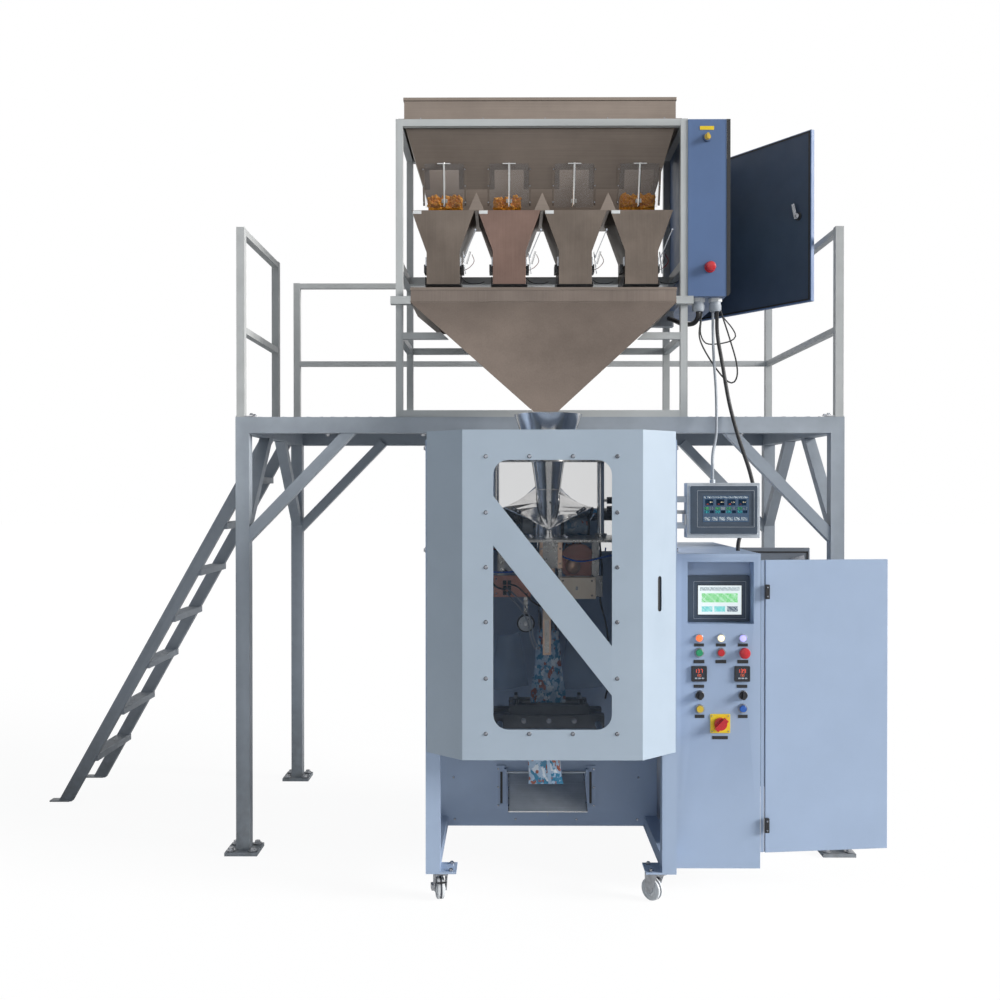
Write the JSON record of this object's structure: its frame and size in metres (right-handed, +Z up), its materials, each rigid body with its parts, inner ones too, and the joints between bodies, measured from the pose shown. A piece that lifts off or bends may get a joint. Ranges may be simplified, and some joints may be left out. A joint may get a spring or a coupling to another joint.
{
  "type": "vertical form fill sealer",
  "caption": "Upright bagging machine with forming tube and sealing jaws, fed by a multi-head weigher on a guarded platform with ladder and control cabinets.",
  "frame": {"origin": "middle of the whole machine's box at floor level", "axes": "+X to the right seen from the front, +Y away from the front cover, +Z up"},
  "size_m": [3.2482, 1.729, 2.796],
  "materials": {
    "frame_paint": "light blue-grey powder coat, fine orange peel",
    "black_cable": "black corrugated conduit",
    "zinc": "ground and plated steel",
    "white_tyre": "white nylon tread",
    "brushed_steel": "brushed stainless, warm reflections",
    "clear_acrylic": "clear acrylic, lightly scuffed",
    "red_plastic": "red",
    "film": "printed packing film, wound",
    "polished_steel": "mirror-polished stainless",
    "black_plastic": "black, satin",
    "yellow_plastic": "yellow",
    "grey_cable": "grey PVC sheath",
    "blue_plastic": "blue",
    "green_plastic": "green",
    "slate_paint": "slate-blue powder coat",
    "navy_paint": "dark navy textured powder coat",
    "white_paint": "off-white gloss enamel on square tube"
  },
  "bodies": {
    "base": {"access_ladder": "frame_paint", "black_conduit": "black_cable", "collar_table": "zinc", "collecting_hopper": "brushed_steel", "control_cabinet": "frame_paint", "feeder_bank": "brushed_steel", "forming_collar": "polished_steel", "forming_tube": "polished_steel", "guard_rail_back_and_right": "frame_paint", "guard_rail_left": "frame_paint", "machine_frame": "frame_paint", "pendant_cable": "grey_cable", "pendant_screen": "brushed_steel", "platform_frame": "frame_paint", "top_bin": "brushed_steel", "weigh_hopper_1": "brushed_steel", "weigh_hopper_2": "brushed_steel", "weigh_hopper_3": "brushed_steel", "weigh_hopper_4": "brushed_steel", "weigher_cabinet": "slate_paint", "weigher_frame": "white_paint"},
    "feed_gate_1": {"feed_gate_1": "clear_acrylic"},
    "hopper_flap_1": {"hopper_flap_1": "black_plastic"},
    "feed_gate_2": {"feed_gate_2": "clear_acrylic"},
    "hopper_flap_2": {"hopper_flap_2": "black_plastic"},
    "feed_gate_3": {"feed_gate_3": "clear_acrylic"},
    "hopper_flap_3": {"hopper_flap_3": "black_plastic"},
    "feed_gate_4": {"feed_gate_4": "clear_acrylic"},
    "hopper_flap_4": {"hopper_flap_4": "black_plastic"},
    "weigher_cabinet_door": {"weigher_cabinet_door": "navy_paint"},
    "weigher_isolator": {"weigher_isolator": "red_plastic"},
    "front_cover": {"front_cover": "frame_paint", "cover_window": "clear_acrylic"},
    "vertical_seal_bar": {"vertical_seal_bar": "zinc"},
    "pull_pulley_left": {"pull_pulley_left": "white_tyre"},
    "pull_pulley_right": {"pull_pulley_right": "white_tyre"},
    "front_jaw": {"front_jaw": "black_plastic"},
    "rear_jaw": {"rear_jaw": "black_plastic"},
    "film_roll": {"film_roll": "film"},
    "upper_roller": {"upper_roller": "black_plastic"},
    "discharge_chute": {"discharge_chute": "brushed_steel"},
    "caster_fork_front_left": {"caster_fork_front_left": "zinc"},
    "caster_wheel_front_left": {"caster_wheel_front_left": "white_tyre"},
    "caster_fork_front_right": {"caster_fork_front_right": "zinc"},
    "caster_wheel_front_right": {"caster_wheel_front_right": "white_tyre"},
    "caster_fork_rear_left": {"caster_fork_rear_left": "zinc"},
    "caster_wheel_rear_left": {"caster_wheel_rear_left": "white_tyre"},
    "caster_fork_rear_right": {"caster_fork_rear_right": "zinc"},
    "caster_wheel_rear_right": {"caster_wheel_rear_right": "white_tyre"},
    "start_button": {"start_button": "green_plastic"},
    "stop_button": {"stop_button": "red_plastic"},
    "jog_button": {"jog_button": "yellow_plastic"},
    "reset_button": {"reset_button": "blue_plastic"},
    "emergency_stop": {"emergency_stop": "red_plastic"},
    "weigher_stop": {"weigher_stop": "red_plastic"},
    "selector_left": {"selector_left": "black_plastic"},
    "selector_right": {"selector_right": "black_plastic"},
    "main_switch": {"main_switch": "red_plastic"},
    "cabinet_front_door": {"cabinet_front_door": "frame_paint"},
    "cabinet_rear_door": {"cabinet_rear_door": "frame_paint"}
  },
  "joints": [
    {"name": "feed_gate_1_lift", "type": "slide", "parent": "base", "child": "feed_gate_1", "axis": [0, -0.3398, 0.9405], "range_m": [0, 0.06]},
    {"name": "hopper_flap_1_turn", "type": "hinge", "parent": "base", "child": "hopper_flap_1", "pos_m": [0.04287, -0.8645, 2.13], "axis": [0, 1, 0], "range_deg": [0, 45], "stiffness_Nm_per_rad": 0.5, "springref_deg": -34.38},
    {"name": "feed_gate_2_lift", "type": "slide", "parent": "base", "child": "feed_gate_2", "axis": [0, -0.3398, 0.9405], "range_m": [0, 0.06]},
    {"name": "hopper_flap_2_turn", "type": "hinge", "parent": "base", "child": "hopper_flap_2", "pos_m": [0.28757, -0.8645, 2.13], "axis": [0, 1, 0], "range_deg": [0, 45], "stiffness_Nm_per_rad": 0.5, "springref_deg": -34.38},
    {"name": "feed_gate_3_lift", "type": "slide", "parent": "base", "child": "feed_gate_3", "axis": [0, -0.3398, 0.9405], "range_m": [0, 0.06]},
    {"name": "hopper_flap_3_turn", "type": "hinge", "parent": "base", "child": "hopper_flap_3", "pos_m": [0.53227, -0.8645, 2.13], "axis": [0, 1, 0], "range_deg": [0, 45], "stiffness_Nm_per_rad": 0.5, "springref_deg": -34.38},
    {"name": "feed_gate_4_lift", "type": "slide", "parent": "base", "child": "feed_gate_4", "axis": [0, -0.3398, 0.9405], "range_m": [0, 0.06]},
    {"name": "hopper_flap_4_turn", "type": "hinge", "parent": "base", "child": "hopper_flap_4", "pos_m": [0.77697, -0.8645, 2.13], "axis": [0, 1, 0], "range_deg": [0, 45], "stiffness_Nm_per_rad": 0.5, "springref_deg": -34.38},
    {"name": "weigher_door_swing", "type": "hinge", "parent": "base", "child": "weigher_cabinet_door", "pos_m": [1.15392, 0.3555, 2.3785], "axis": [0, 0, 1], "range_deg": [-35, 3.5]},
    {"name": "weigher_isolator_turn", "type": "hinge", "parent": "base", "child": "weigher_isolator", "pos_m": [1.07992, -0.2345, 2.636], "axis": [0, -1, 0], "range_deg": [-90, 0]},
    {"name": "front_cover_swing", "type": "hinge", "parent": "base", "child": "front_cover", "pos_m": [0.08792, -0.759, 1.014], "axis": [0, 0, -1], "range_deg": [0, 100]},
    {"name": "seal_bar_press", "type": "slide", "parent": "base", "child": "vertical_seal_bar", "axis": [0, 1, 0], "range_m": [0, 0.006]},
    {"name": "pull_pulley_left_spin", "type": "hinge", "parent": "base", "child": "pull_pulley_left", "pos_m": [0.40892, -0.5345, 0.887], "axis": [0, 1, 0], "continuous": true},
    {"name": "pull_pulley_right_spin", "type": "hinge", "parent": "base", "child": "pull_pulley_right", "pos_m": [0.56292, -0.5345, 0.887], "axis": [0, 1, 0], "continuous": true},
    {"name": "front_jaw_slide", "type": "slide", "parent": "base", "child": "front_jaw", "axis": [0, 1, 0], "range_m": [0, 0.028]},
    {"name": "rear_jaw_slide", "type": "slide", "parent": "base", "child": "rear_jaw", "axis": [0, -1, 0], "range_m": [0, 0.028]},
    {"name": "film_roll_spin", "type": "hinge", "parent": "base", "child": "film_roll", "pos_m": [0.48592, -0.0145, 0.42], "axis": [1, 0, 0], "continuous": true},
    {"name": "upper_roller_spin", "type": "hinge", "parent": "base", "child": "upper_roller", "pos_m": [0.48592, -0.2815, 1.252], "axis": [1, 0, 0], "continuous": true},
    {"name": "chute_tilt", "type": "hinge", "parent": "base", "child": "discharge_chute", "pos_m": [0.48592, -0.3275, 0.324], "axis": [1, 0, 0], "range_deg": [-15, 20]},
    {"name": "caster_front_left_swivel", "type": "hinge", "parent": "base", "child": "caster_fork_front_left", "pos_m": [0.13092, -0.7095, 0.1077], "axis": [0, 0, 1], "continuous": true},
    {"name": "caster_front_left_roll", "type": "hinge", "parent": "caster_fork_front_left", "child": "caster_wheel_front_left", "pos_m": [0.12482, -0.67809, 0.0375], "axis": [-0.9816, -0.1908, 0], "continuous": true},
    {"name": "caster_front_right_swivel", "type": "hinge", "parent": "base", "child": "caster_fork_front_right", "pos_m": [0.84092, -0.7095, 0.1077], "axis": [0, 0, 1], "continuous": true},
    {"name": "caster_front_right_roll", "type": "hinge", "parent": "caster_fork_front_right", "child": "caster_wheel_front_right", "pos_m": [0.8191, -0.6861, 0.0375], "axis": [-0.7314, -0.682, 0], "continuous": true},
    {"name": "caster_rear_left_swivel", "type": "hinge", "parent": "base", "child": "caster_fork_rear_left", "pos_m": [0.13092, 0.1905, 0.1077], "axis": [0, 0, 1], "continuous": true},
    {"name": "caster_rear_left_roll", "type": "hinge", "parent": "caster_fork_rear_left", "child": "caster_wheel_rear_left", "pos_m": [0.13092, 0.2225, 0.0375], "axis": [-1, 0, 0], "continuous": true},
    {"name": "caster_rear_right_swivel", "type": "hinge", "parent": "base", "child": "caster_fork_rear_right", "pos_m": [0.84092, 0.1905, 0.1077], "axis": [0, 0, 1], "continuous": true},
    {"name": "caster_rear_right_roll", "type": "hinge", "parent": "caster_fork_rear_right", "child": "caster_wheel_rear_right", "pos_m": [0.85692, 0.21821, 0.0375], "axis": [-0.866, 0.5, 0], "continuous": true},
    {"name": "start_button_press", "type": "slide", "parent": "base", "child": "start_button", "axis": [0, 1, 0], "range_m": [0, 0.003], "stiffness_N_per_m": 400},
    {"name": "stop_button_press", "type": "slide", "parent": "base", "child": "stop_button", "axis": [0, 1, 0], "range_m": [0, 0.003], "stiffness_N_per_m": 400},
    {"name": "jog_button_press", "type": "slide", "parent": "base", "child": "jog_button", "axis": [0, 1, 0], "range_m": [0, 0.003], "stiffness_N_per_m": 400},
    {"name": "reset_button_press", "type": "slide", "parent": "base", "child": "reset_button", "axis": [0, 1, 0], "range_m": [0, 0.003], "stiffness_N_per_m": 400},
    {"name": "emergency_stop_press", "type": "slide", "parent": "base", "child": "emergency_stop", "axis": [0, 1, 0], "range_m": [0, 0.0035], "stiffness_N_per_m": 600},
    {"name": "weigher_stop_press", "type": "slide", "parent": "base", "child": "weigher_stop", "axis": [0, 1, 0], "range_m": [0, 0.0035], "stiffness_N_per_m": 600},
    {"name": "selector_left_turn", "type": "hinge", "parent": "base", "child": "selector_left", "pos_m": [0.98352, -0.6275, 0.6599], "axis": [0, -1, 0], "range_deg": [-45, 45]},
    {"name": "selector_right_turn", "type": "hinge", "parent": "base", "child": "selector_right", "pos_m": [1.12722, -0.6275, 0.6599], "axis": [0, -1, 0], "range_deg": [-45, 45]},
    {"name": "main_switch_turn", "type": "hinge", "parent": "base", "child": "main_switch", "pos_m": [1.05192, -0.6275, 0.5653], "axis": [0, -1, 0], "range_deg": [-90, 0]},
    {"name": "cabinet_front_door_swing", "type": "hinge", "parent": "base", "child": "cabinet_front_door", "pos_m": [1.19792, -0.6285, 0.62175], "axis": [0, 0, 1], "range_deg": [-60, 83.4]},
    {"name": "cabinet_rear_door_swing", "type": "hinge", "parent": "base", "child": "cabinet_rear_door", "pos_m": [1.19792, 0.1945, 0.62175], "axis": [0, 0, 1], "range_deg": [-88, 40]}
  ],
  "couplings": [
    {"joint": "pull_pulley_right_spin", "follows": "pull_pulley_left_spin", "ratio": -1},
    {"joint": "rear_jaw_slide", "follows": "front_jaw_slide", "ratio": 1}
  ]
}
